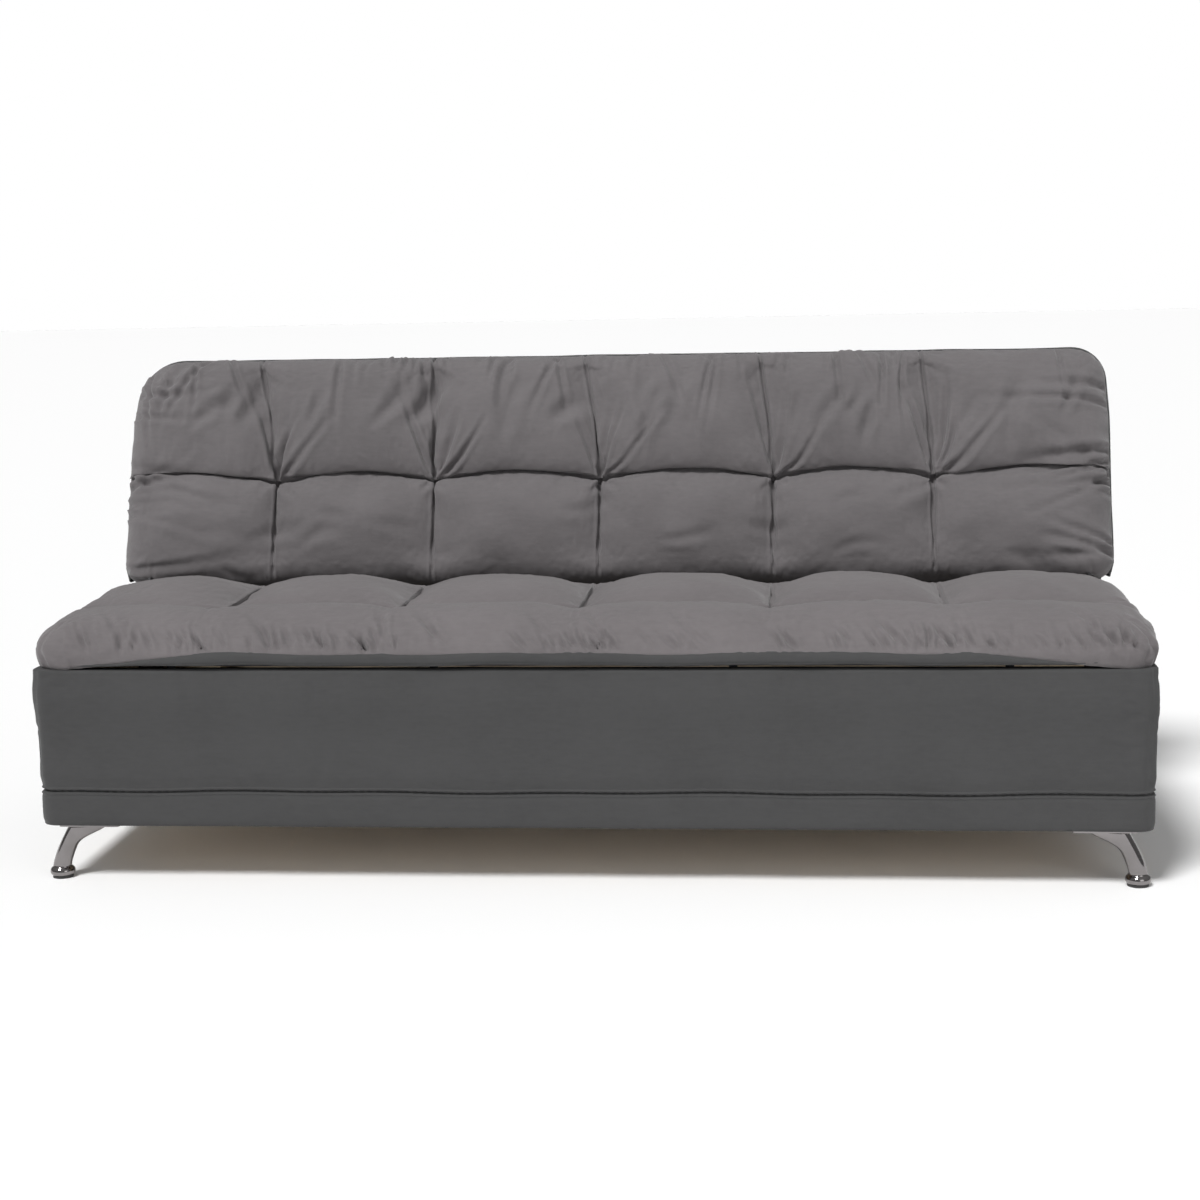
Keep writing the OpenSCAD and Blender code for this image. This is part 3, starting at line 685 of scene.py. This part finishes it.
def rolling(a, b, seed, waves, longest, shortest, depth):
    """Slow, seeded unevenness of stuffed cloth."""
    rng = np.random.default_rng(seed)
    height = np.zeros_like(a)
    for _ in range(waves):
        angle = rng.uniform(0, math.pi)
        number = 2 * math.pi / rng.uniform(shortest, longest)
        phase = rng.uniform(0, 2 * math.pi)
        height += np.sin(number * (a * math.cos(angle) + b * math.sin(angle)) + phase)
    return depth * height / math.sqrt(waves)


class Surface:
    """Places on a pad's skin: v runs on over the far edge, and w over the ends."""

    def __init__(self, pad, co):
        self.pad = pad
        self.x, self.u, self.h = co.T
        drop = np.clip(pad.top - self.h, 0, None)
        self.v = self.u + drop * smooth((self.u - (pad.length - 0.05)) / 0.02)
        over_end = drop * smooth((np.abs(self.x) - (HALF_W - 0.05)) / 0.02)
        self.w = np.sign(self.x) * (np.abs(self.x) + over_end)
        self.reach = pad.top - CUSHION_FOOT - 0.006
        self.height = np.zeros(len(co))
        self.slide = np.zeros(len(co))

    def add(self, a, b, *args, **kwargs):
        """Lays one more fold."""
        self.height += fold(a, b, *args, **kwargs)

    def stitched_lines(self, channel, crease):
        """The sewn channels and the crease as narrow sunk lines: (width, depth) of each."""
        pad = self.pad
        for k in range(len(pad.tuft_x)):
            off = (self.x - pad.seam_x(k, self.u)) / channel[0]
            along = smooth((self.u - pad.near) / 0.03)
            along *= smooth((pad.tuft_u + pad.channel_reach - self.v) / 0.03)
            self.height += channel[1] * crease_profile(off) * along
        off = (self.u - pad.crease_u(self.x)) / crease[0]
        at_end = smooth((HALF_W - np.abs(self.x)) / 0.05)
        self.height += crease[1] * crease_profile(off) * at_end

    def overhang(self, reach, slip):
        """The far cells sag over the crease."""
        above = (self.u - self.pad.crease_u(self.x)) / reach
        tuft = np.min(np.abs(self.x[:, None] - self.pad.tuft_x[None, :]), axis=1)
        amount = smooth(tuft / 0.08) * smooth(above / 0.35) * smooth((1.6 - above) / 1.2)
        self.slide -= slip * amount

    def far_gathers(self, rng, bunches, each, lean, length, width, depth):
        """Bunches of pleats that leave the gathered seam of the far edge."""
        for centre in rng.uniform(-HALF_W + 0.02, HALF_W - 0.02, bunches):
            tilt = rng.normal(*lean)
            for _ in range(each):
                x = centre + rng.normal(0, 0.024)
                self.add(self.x, -self.v, (x, -self.pad.length - self.reach),
                         tilt + rng.normal(0, 0.10), *draws(rng, length, width, depth),
                         bend=rng.normal(0, 0.005), fade_in=0.25, fade_out=0.65)

    def end_gathers(self, rng, count, length, width, depth, spots):
        """Wrinkles that run inwards from the gathered ends."""
        for side in (-1, 1):
            for _ in range(count):
                u = rng.choice(spots) + rng.normal(0, 0.022)
                self.add(u - self.u, -side * self.w, (0, -HALF_W - self.reach),
                         rng.normal(0, 0.20), *draws(rng, length, width, depth),
                         bend=rng.normal(0, 0.006), fade_in=0.08, fade_out=0.7)

    def tuft_fans(self, rng, angles, length, width, depth, towards):
        """Creases that spread from each tuft."""
        for x in self.pad.tuft_x:
            for angle in angles:
                self.add(self.x, towards * self.u, (x, towards * self.pad.tuft_u),
                         angle + rng.normal(0, 0.06), *draws(rng, length, width, depth),
                         bend=rng.normal(0.004, 0.008), fade_in=0.15)

    def cell_folds(self, rng, count, row, tilt, length, width, depth):
        """Long soft folds inside the cells of one row."""
        edges = np.concatenate(([-HALF_W], self.pad.tuft_x, [HALF_W]))
        for k in range(len(edges) - 1):
            for _ in range(count):
                x = rng.uniform(edges[k] + 0.04, edges[k + 1] - 0.04)
                u = rng.uniform(*row)
                self.add(self.x, self.u, (x, u), rng.normal(*tilt),
                         *draws(rng, length, width, depth), bend=rng.normal(0, 0.012),
                         fade_in=0.4, fade_out=0.5)


# A bracket's head needs room below this height and this near its middle
BRACKET_HEAD, BRACKET_WIDE, BRACKET_ROOM = 0.034, 0.016, 0.0185
HELD_EDGE = 0.020  # folds fade in over this height above the seam


def lay_folds(obj, pad, recipe):
    """Moves a pad's points along their normals to make its folds; the seam stays where it is."""
    co, normals = read_points(obj.data), read_points(obj.data, "normal")
    surface = Surface(pad, co)
    recipe(surface)
    held = smooth((co[:, 2] - pad.seam_height(co[:, 0], co[:, 1]) - 0.001) / HELD_EDGE)
    co += normals * (surface.height * held)[:, None]
    co[:, 1] += surface.slide * held
    co[:, 1] = np.maximum(co[:, 1], bracket_room(co[:, 0], co[:, 2]))
    obj.data.vertices.foreach_set("co", co.ravel())
    obj.data.update()


def bracket_room(x, h):
    """How far from the pivot line a pad stays, so that the brackets' heads have room beside it."""
    at_bracket = smooth((BRACKET_WIDE - np.abs(np.abs(x) - BRACKET_X)) / 0.006)
    return BRACKET_ROOM * at_bracket * smooth((BRACKET_HEAD - h) / 0.010)


def seat_place():
    """The seat pad's frame: u runs forwards from the pivot, and x runs the other way."""
    return Matrix.Translation(PIVOT) @ Matrix.Diagonal((-1, -1, 1, 1))


def back_place():
    """The back pad's frame: u runs up the back from the pivot."""
    return Matrix.Translation(PIVOT) @ Matrix.Rotation(BACK_ANGLE, 4, "X")


def stand_in(obj, body, *nodes):
    """Lets a piece ride on a body in place of CAD nodes, which it hides."""
    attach(obj, body)
    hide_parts(*nodes)


def make_cushion(pad, body, nodes, place, recipe, seed):
    """Builds a pad, inflates it, lays its folds and puts it in its place."""
    pad.build()
    rest = pad.cut_size()
    weight, pad.points = pad.sewn()
    obj = new_piece(pad.name, pad.points, pad.faces, CLOTH[body])
    run_cloth(obj, rest, weight, seed)
    bake_subdivision(obj)
    lay_folds(obj, pad, recipe)
    obj.data.transform(place)
    stand_in(obj, body, *nodes)


TUFTS = (-0.65, -0.34, -0.02, 0.31, 0.61)

back = Pad("back_cushion_cover", BACK_LEN, TUFTS, 0.205, step_x=0.0052)
back.lean = np.array([-0.045, -0.012, -0.036, -0.028, -0.022])
back.lift, back.peaks = (0.018, 0.022), (0.5, 0.26)
back.corners, back.end_bulge = (0.070, 0.050), (0.012, 0.003)
seat = Pad("seat_cushion_cover", SEAT_LEN, [-x for x in reversed(TUFTS)], 0.330, step_x=0.0058)
seat.lift, seat.peaks = (0.032, 0.012), (0.38, 0.5)
seat.crease_h, seat.tuft_h, seat.channel_reach = 0.000, -0.008, 0.02
seat.arch, seat.seam_drop, seat.corner_drop = 0.008, 0.008, 0.031


# ---- Covers ----

COVER_THICK, FLAT_THICK = 0.0016, 0.001


def new_piece(name, points, faces, material):
    """A smooth-shaded mesh object."""
    mesh = bpy.data.meshes.new(name)
    mesh.from_pydata([tuple(map(float, p)) for p in points], [],
                     [tuple(int(v) for v in f) for f in faces])
    mesh.validate()
    mesh.shade_smooth()
    mesh.materials.append(material)
    return new_object(name, mesh)


def skin_faces(rows, columns, closed):
    """Quads between rows of points; a closed skin joins its last column to its first."""
    across = columns if closed else columns - 1
    return [(r * columns + c, r * columns + (c + 1) % columns,
             (r + 1) * columns + (c + 1) % columns, (r + 1) * columns + c)
            for r in range(rows - 1) for c in range(across)]


def thicken(obj, thickness):
    """Gives a skin the thickness of its cloth, inwards."""
    modifier = obj.modifiers.new("cloth_thickness", "SOLIDIFY")
    modifier.thickness = thickness
    modifier.offset = -1


def rounded_rectangle(low, high, radius, step):
    """Points, outward normals and travel round a rectangle with round corners, anticlockwise."""
    straight = [(high[0] - low[0] - 2 * radius), (high[1] - low[1] - 2 * radius)]
    corners = ((high[0] - radius, low[1] + radius), (high[0] - radius, high[1] - radius),
               (low[0] + radius, high[1] - radius), (low[0] + radius, low[1] + radius))
    points, normals = [], []
    for k, (cx, cy) in enumerate(corners):
        start = -math.pi / 2 + k * math.pi / 2
        turns = max(6, round(radius * math.pi / 2 / step * 1.5))
        for t in range(turns):
            angle = start + math.pi / 2 * t / turns
            normals.append((math.cos(angle), math.sin(angle)))
            points.append((cx + radius * math.cos(angle), cy + radius * math.sin(angle)))
        run = straight[(k + 1) % 2]
        end = start + math.pi / 2
        along, out = (-math.sin(end), math.cos(end)), (math.cos(end), math.sin(end))
        first = (cx + radius * out[0], cy + radius * out[1])
        for t in range(round(run / step)):
            d = run * t / round(run / step)
            points.append((first[0] + along[0] * d, first[1] + along[1] * d))
            normals.append(out)
    points, normals = np.array(points), np.array(normals)
    steps = np.linalg.norm(np.roll(points, -1, 0) - points, axis=1)
    return points, normals, np.concatenate(([0], np.cumsum(steps)[:-1]))


def moved_out(ring, normals, out, z):
    """Rows of a skin: the points of a ring, moved out along its normals, at the heights z."""
    return np.concatenate([ring + normals * out[:, :, None], z[:, :, None]], -1)


# Fitted cover; each hem is (inset, how far past the edge)
BOX_ROUND, BOX_STEP = 0.022, 0.007
STITCH = 0.013
UPPER_PUCKERS, CORNER_PUCKERS, EDGE_PUCKERS = 0.11, 20, 60
HEMS = ((0.0035, 0.0012), (0.0315, 0.0008))


def add_base_cover():
    """The fitted cover of the box: stuffed a little, with a stitched hem strip and corner seams."""
    foot, top, seam = BAND_LOW.z, BASE_HIGH.z, BAND_HIGH.z
    points, normals, travel = rounded_rectangle(BASE_LOW, BASE_HIGH, BOX_ROUND, BOX_STEP)
    rng = np.random.default_rng(31)
    rise = np.concatenate([np.linspace(foot, seam - 0.012, 10),
                           np.linspace(seam - 0.011, seam + 0.011, 20),
                           np.linspace(seam + 0.012, top, 46)])
    s, z = np.meshgrid(travel, rise)
    wave = 0.0012 * np.sin(s * 9.0) + 0.0008 * np.sin(s * 23.0 + 1)
    line = z - seam - wave
    pucker = 1 + 0.35 * np.sin(s * 2 * math.pi / STITCH)
    out = 0.0040 + 0.0045 * crease_profile(line / 0.0022) * pucker
    out += 0.0042 * smooth(line / 0.03) * smooth((top - z) / 0.05)
    out += 0.0022 * smooth((z - foot) / 0.012) * smooth(-line / 0.015)
    out += 0.003 * smooth((z - (top - UPPER_PUCKERS)) / 0.06)
    total = travel[-1] + BOX_STEP
    for x, y in ((x, y) for x in (BASE_LOW.x, BASE_HIGH.x) for y in (BASE_LOW.y, BASE_HIGH.y)):
        at = travel[np.argmin(np.hypot(points[:, 0] - x, points[:, 1] - y))]
        off = (s - at + total / 2) % total - total / 2
        shift = 0.004 * np.sin(z * 21)
        out += 0.0030 * crease_profile((off - shift) / 0.0042) * smooth((z - seam) / 0.02)
        for _ in range(CORNER_PUCKERS):
            lowest = seam + 0.02 if rng.random() < 0.4 else top - UPPER_PUCKERS
            level = rng.uniform(lowest, top - 0.01)
            for side in (-1, 1):
                out += fold(z - level, side * off, (0, 0.002), rng.normal(0, 0.35),
                            *draws(rng, (0.03, 0.08), (0.005, 0.008), (0.0004, 0.0009)),
                            fade_in=0.4)
    for _ in range(EDGE_PUCKERS):
        at = rng.uniform(0, total)
        off = (s - at + total / 2) % total - total / 2
        out += fold(off, z - seam, (0, 0.003), rng.normal(0, 0.12),
                    *draws(rng, (0.03, 0.10), (0.005, 0.009), (0.0004, 0.0011)))
        out += fold(off, top - z, (0, 0), rng.normal(0, 0.2),
                    *draws(rng, (0.03, 0.09), (0.006, 0.010), (0.0005, 0.0014)))
    out += rolling(s, z * 1.6, 33, 12, 0.5, 0.12, 0.0010)
    skin = moved_out(points, normals, out, z)
    hems = []
    for level, edge, way in ((foot, skin[0], -1), (top, skin[-1], 1)):
        for inset, past in HEMS:
            turned = edge.copy()
            turned[:, :2] -= normals * inset
            turned[:, 2] = level + way * past
            hems.append(turned)
    rows = np.concatenate([[hems[1]], [hems[0]], skin, [hems[2]], [hems[3]]])
    faces = skin_faces(len(rows), len(travel), True)
    obj = new_piece("base_fitted_cover", rows.reshape(-1, 3), faces, CLOTH["base"])
    thicken(obj, COVER_THICK)
    stand_in(obj, "base", "base_cover", "base_band")


# Legs: the foot disc's rings as (rise, radius), the shank, and the plate's reach from the foot
DISC = ((0.0, 0.015), (0.0008, 0.0185), (0.0035, 0.0208), (0.0075, 0.0213), (0.0112, 0.0203),
        (0.0135, 0.0183), (0.0148, 0.0168))
FOOT_R = 0.0215
SHANK_START, SHANK_R, SHANK_RINGS = 0.0165, 0.0158, 26
LEG_TURNS, LEG_LEAN, LEG_FLARE = 40, 0.032, 0.036
PLATE_THICK, PLATE_ROUND = 0.0032, 0.006
PLATE_X, PLATE_Y = (0.004, 0.11), (-0.020, 0.048)


def add_leg(name, node, side, toward):
    """A cast, chromed leg: it rises in a curve from its foot disc and flares in under the base."""
    low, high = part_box(node)
    x0 = (high[0] if side > 0 else low[0]) - side * FOOT_R
    y0 = (low[1] if toward < 0 else high[1]) - toward * FOOT_R
    glide, top = low[2], high[2] - PLATE_THICK
    angles = np.arange(LEG_TURNS) / LEG_TURNS * 2 * math.pi
    rows = [[(radius * math.cos(a), radius * math.sin(a), glide + rise) for a in angles]
            for rise, radius in DISC]
    start = glide + SHANK_START
    for t in np.linspace(0, 1, SHANK_RINGS):
        z = start + (top - start) * t
        lean = LEG_LEAN * t ** 1.35
        flare = LEG_FLARE * smooth((t - 0.42) / 0.58) ** 1.7
        outer, inner = SHANK_R - 0.0010 * t, SHANK_R + 0.0015 * t + flare
        depth = SHANK_R + 0.0022 * t
        sharp = 1 - 0.25 * smooth((t - 0.4) / 0.6)
        ring = []
        for a in angles:
            c, d = math.cos(a), math.sin(a)
            reach = inner if c > 0 else outer
            ring.append((lean + reach * math.copysign(abs(c) ** sharp, c),
                         depth * math.copysign(abs(d) ** (1 + 0.5 * (1 - sharp)), d)
                         * (1 - 0.45 * flare / LEG_FLARE * max(c, 0)), z))
        rows.append(ring)
    points = np.array(rows).reshape(-1, 3)
    points[:, 0] = x0 - side * points[:, 0]
    points[:, 1] += y0
    faces = skin_faces(len(rows), LEG_TURNS, True)
    last = (len(rows) - 1) * LEG_TURNS
    faces += [tuple(range(LEG_TURNS))[::-1], tuple(range(last, last + LEG_TURNS))]
    obj = new_piece(name, points, faces, CAD_LOOKS["chrome"])
    bm = bmesh.new()
    bm.from_mesh(obj.data)
    plate_x = sorted(x0 - side * reach for reach in PLATE_X)
    plate_y = sorted(y0 - toward * reach for reach in PLATE_Y)
    add_plate(bm, plate_x, plate_y, (top - 0.0003, high[2]), PLATE_ROUND)
    bmesh.ops.recalc_face_normals(bm, faces=bm.faces)
    bm.to_mesh(obj.data)
    bm.free()
    stand_in(obj, "base", node)


def add_plate(bm, x, y, z, radius):
    """A flat plate with round corners."""
    outline, _, _ = rounded_rectangle((x[0], y[0]), (x[1], y[1]), radius, 0.004)
    bottom = [bm.verts.new((px, py, z[0])) for px, py in outline]
    top = [bm.verts.new((px, py, z[1])) for px, py in outline]
    bm.faces.new(bottom[::-1])
    bm.faces.new(top)
    for k in range(len(outline)):
        n = (k + 1) % len(outline)
        bm.faces.new((bottom[k], bottom[n], top[n], top[k]))


# Border strips and flat cloths
SEAM_LAP, STRIP_RAISE, STRIP_HEM = 0.004, 0.004, 0.022
FLAT_SLACK, REAR_INSET, DUST_HALF = 0.0035, 0.016, 0.87


def add_border(pad, name, body, nodes, place, seed):
    """The plain strip sewn under the gathered seam, round the far edge and both ends of a pad."""
    order = [*range(len(pad.columns) - 1, len(pad.loop)), 0]
    ring, out = pad.points[pad.rings[-1]][order, :2], pad.out[order]
    travel = np.concatenate(([0], np.cumsum(np.linalg.norm(np.diff(ring, axis=0), axis=1))))
    rise = np.linspace(1, 0, 13)
    s, t = np.meshgrid(travel, rise)
    wave = 0.0012 * np.sin(s * 13 + seed) + 0.0008 * np.sin(s * 31)
    seam = pad.seam_height(ring[:, 0], ring[:, 1])
    full = np.maximum(seam + SEAM_LAP - BORDER_FOOT, SEAM_LAP)
    height = BORDER_FOOT + full * t + wave + STRIP_RAISE
    bulge = 0.003 * np.sin(math.pi * t) - 0.0015 + rolling(s, height, seed, 8, 0.25, 0.06, 0.0006)
    bulge -= 0.005 * smooth((t - 0.75) / 0.25) + 0.011 * smooth((0.30 - t) / 0.30)
    rows = moved_out(ring, out, bulge, height)
    tuck = rows[-1].copy()
    tuck[:, :2] -= out * STRIP_HEM
    rows = np.concatenate([rows, [tuck]])
    obj = new_piece(name, rows.reshape(-1, 3), skin_faces(len(rows), len(travel), False),
                    CLOTH["border"])
    thicken(obj, COVER_THICK)
    obj.data.transform(place)
    stand_in(obj, body, *nodes)


def add_flat_cover(node, name, body, look, place, low, high, seed, slots, taut_to, radii):
    """A cloth tacked under a pad's frame, slack between its edges, with small gathers round them.

    The slots leave room for the arms: from inner to outer on both sides, up to a depth from the
    pivot. Below taut_to the cloth has no slack.
    """
    inner, outer, depth = slots
    across = np.linspace(-inner, inner, 226)
    if high[0] > outer:
        rest = np.concatenate([np.linspace(inner, outer, 4)[1:],
                               np.linspace(outer, high[0], 4)[1:]])
        across = np.concatenate([-rest[::-1], across, rest])
    along = np.concatenate([np.linspace(low[1], depth, 8), np.linspace(depth, high[1], 60)[1:]])
    nx, nu = len(across), len(along)
    x, u = np.meshgrid(across, along)
    edge = np.minimum.reduce([x - low[0], high[0] - x, u - low[1], high[1] - u])
    slack = FLAT_SLACK * smooth(edge / 0.10)
    slack += rolling(x, u, seed, 16, 0.4, 0.09, 0.0008) * smooth(edge / 0.02)
    rng = np.random.default_rng(seed)
    for _ in range(EDGE_PUCKERS):
        at = rng.uniform(low[0], high[0])
        for side in (-1, 1):
            start = low[1] if side > 0 else high[1]
            slack += fold(x - at, side * (u - start), (0, 0), rng.normal(0, 0.25),
                          *draws(rng, (0.03, 0.09), (0.007, 0.011), (0.0004, 0.0012)))
    slack *= smooth((u - taut_to) / 0.05)
    z = BORDER_FOOT - slack
    x, u = arc_corners(x, u, high[0], high[1], radii)
    points = np.stack([x, u, z], -1).reshape(-1, 3)
    centres = ((f, points[list(f)].mean(0)) for f in skin_faces(nu, nx, False))
    faces = [f for f, (cx, cu, _) in centres if cu > depth or not inner < abs(cx) < outer]
    obj = new_piece(name, points, faces, CAD_LOOKS[look])
    thicken(obj, FLAT_THICK)
    obj.data.transform(place)
    stand_in(obj, body, node)


def back_folds(surface):
    """The back's upper cells are gathered along the top; its lower cells are pulled smooth."""
    rng = np.random.default_rng(11)
    tuft_u = surface.pad.tuft_u
    surface.stitched_lines(channel=(0.0032, 0.0045), crease=(0.0034, 0.0045))
    surface.overhang(reach=0.034, slip=0.015)
    surface.tuft_fans(rng, (0.14, 0.36, 0.62, -0.34), (0.15, 0.26), (0.0045, 0.008),
                      (0.004, 0.008), 1)
    surface.tuft_fans(rng, (0.9, -0.9), (0.04, 0.07), (0.005, 0.007), (0.002, 0.004), -1)
    surface.far_gathers(rng, 16, 4, (0.05, 0.16), (0.07, 0.15), (0.004, 0.0065), (0.0018, 0.0036))
    surface.far_gathers(rng, 15, 1, (0.0, 0.25), (0.18, 0.28), (0.0045, 0.007), (0.004, 0.007))
    surface.end_gathers(rng, 17, (0.19, 0.33), (0.006, 0.009), (0.003, 0.0065),
                        (0.05, 0.16, 0.22, 0.25, 0.38))
    surface.cell_folds(rng, 4, (tuft_u + 0.03, tuft_u + 0.12), (0.25, 0.30), (0.10, 0.20),
                       (0.009, 0.017), (0.004, 0.008))
    surface.cell_folds(rng, 3, (0.05, 0.16), (1.45, 0.25), (0.09, 0.18), (0.009, 0.014),
                       (0.0015, 0.0035))
    surface.height += rolling(surface.x, surface.v, 21, 14, 0.22, 0.07, 0.0022)


def seat_folds(surface):
    """The seat's front roll is gathered into its border seam."""
    rng = np.random.default_rng(12)
    surface.stitched_lines(channel=(0.0034, 0.004), crease=(0.0045, 0.0028))
    surface.tuft_fans(rng, (0.5, -0.5, 1.3, -1.3), (0.05, 0.10), (0.006, 0.009), (0.002, 0.004), 1)
    surface.far_gathers(rng, 34, 6, (0.40, 0.18), (0.05, 0.10), (0.0035, 0.0055), (0.003, 0.0055))
    surface.far_gathers(rng, 12, 1, (0.55, 0.2), (0.12, 0.19), (0.005, 0.007), (0.004, 0.007))
    surface.end_gathers(rng, 16, (0.05, 0.12), (0.005, 0.009), (0.002, 0.004),
                        (0.10, 0.20, 0.30, 0.42, 0.50))
    surface.cell_folds(rng, 2, (0.32, 0.44), (0.2, 0.8), (0.06, 0.12), (0.008, 0.013),
                       (0.001, 0.0025))
    surface.height += rolling(surface.x, surface.v, 22, 14, 0.22, 0.07, 0.0016)


bpy.context.scene.view_settings.view_transform = "Standard"
add_camera()
add_surround()
add_lights()
add_floor()
dress_cad_nodes()
make_cushion(back, "back", ("back_cushion", "back_foam"), back_place(), back_folds, seed=3)
make_cushion(seat, "seat", ("seat_cushion", "seat_foam"), seat_place(), seat_folds, seed=5)

add_base_cover()
for side, side_name in ((-1, "left"), (1, "right")):
    for toward, end_name in ((-1, "front"), (1, "rear")):
        add_leg(f"leg_cast_{end_name}_{side_name}", f"leg_{end_name}_{side_name}", side, toward)
add_border(seat, "seat_border_strip", "seat",
           ["seat_border_front", "seat_border_left", "seat_border_right"], seat_place(), 41)
add_border(back, "back_border_strip", "back",
           ["back_border_top", "back_border_left", "back_border_right"], back_place(), 42)

add_flat_cover("back_rear_cover", "back_rear_cloth", "back", "rear_fabric", back_place(),
               low=(-HALF_W + REAR_INSET, 0.012), high=(HALF_W - REAR_INSET, BACK_LEN - REAR_INSET),
               seed=51, slots=(0.8825, 0.905, 0.055), taut_to=0.19, radii=back.corners)
add_flat_cover("seat_dust_cloth", "seat_dust_felt", "seat", "dust_cloth", seat_place(),
               low=(-DUST_HALF, 0.035), high=(DUST_HALF, SEAT_LEN - 0.03),
               seed=52, slots=(DUST_HALF, 0.90, 0.055), taut_to=0.0, radii=(0.01, 0.01))
